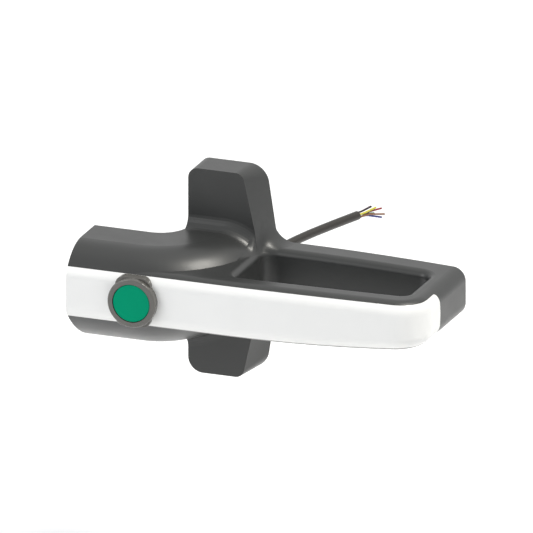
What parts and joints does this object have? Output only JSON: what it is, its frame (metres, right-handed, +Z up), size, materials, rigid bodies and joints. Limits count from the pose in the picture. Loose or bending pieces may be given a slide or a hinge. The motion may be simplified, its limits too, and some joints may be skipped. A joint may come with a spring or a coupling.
{
  "type": "enabling grip switch",
  "caption": "Grey moulded D-shaped door grip with a white front strip, a green push-button in its left end and a flying multi-core cable out of the back.",
  "frame": {"origin": "centre of the four mounting inserts, on the rear mounting plane; the cable leaves the lug here", "axes": "+Z up along the lug, +X along the bar towards its right end, the front faces -Y and the mounting plane faces +Y"},
  "size_m": [0.2238, 0.219, 0.1296],
  "materials": {
    "body_grey": "fine satin texture",
    "cover_grey": "fine satin texture",
    "strip_white": "smooth gloss",
    "bezel_grey": "gloss",
    "lens_green": "satin",
    "plastic_black": "matt",
    "pusher_white": "matt",
    "rubber_black": "matt",
    "steel": "zinc plated",
    "spring_steel": "drawn wire",
    "brass": "machined",
    "cable_grey": "satin sheath",
    "core_black": "satin insulation",
    "core_violet": "satin insulation",
    "core_yellow": "satin insulation",
    "core_red": "satin insulation",
    "core_green": "satin insulation",
    "core_brown": "satin insulation",
    "core_blue": "satin insulation"
  },
  "bodies": {
    "grip": {"grip_body": "body_grey", "front_strip": "strip_white", "button_housing": "bezel_grey", "button_gasket": "rubber_black", "button_locknut": "plastic_black", "return_spring": "spring_steel", "contact_holder": "plastic_black", "contact_block_left": "plastic_black", "contact_block_right": "plastic_black", "contact_spring_left": "spring_steel", "contact_spring_right": "spring_steel", "fixed_contacts": "brass", "contact_terminal_screws": "steel", "pod_cover": "cover_grey", "pod_cover_seal": "rubber_black", "pod_cover_screws": "steel", "wiring_cover": "cover_grey", "wiring_cover_screws": "steel", "cable_bush": "rubber_black", "cable_clamp": "plastic_black", "cable_clamp_screws": "steel", "terminal_strip": "pusher_white", "mounting_inserts": "brass", "cable_jacket": "cable_grey", "core_black": "core_black", "core_violet": "core_violet", "core_yellow": "core_yellow", "core_red": "core_red", "core_green": "core_green", "core_brown": "core_brown", "core_blue": "core_blue"},
    "button": {"button_lens": "lens_green", "button_plunger": "plastic_black", "button_press_disc": "plastic_black", "button_disc_screw": "steel", "contact_pusher_left": "pusher_white", "contact_pusher_right": "pusher_white", "contact_bridge_left": "brass", "contact_bridge_right": "brass"}
  },
  "joints": [
    {"name": "button_press", "type": "slide", "parent": "grip", "child": "button", "axis": [0, 1, 0], "range_m": [0, 0.0026], "stiffness_N_per_m": 800, "springref_m": -0.0006, "deforming": ["return_spring", "contact_spring_left", "contact_spring_right"]}
  ]
}
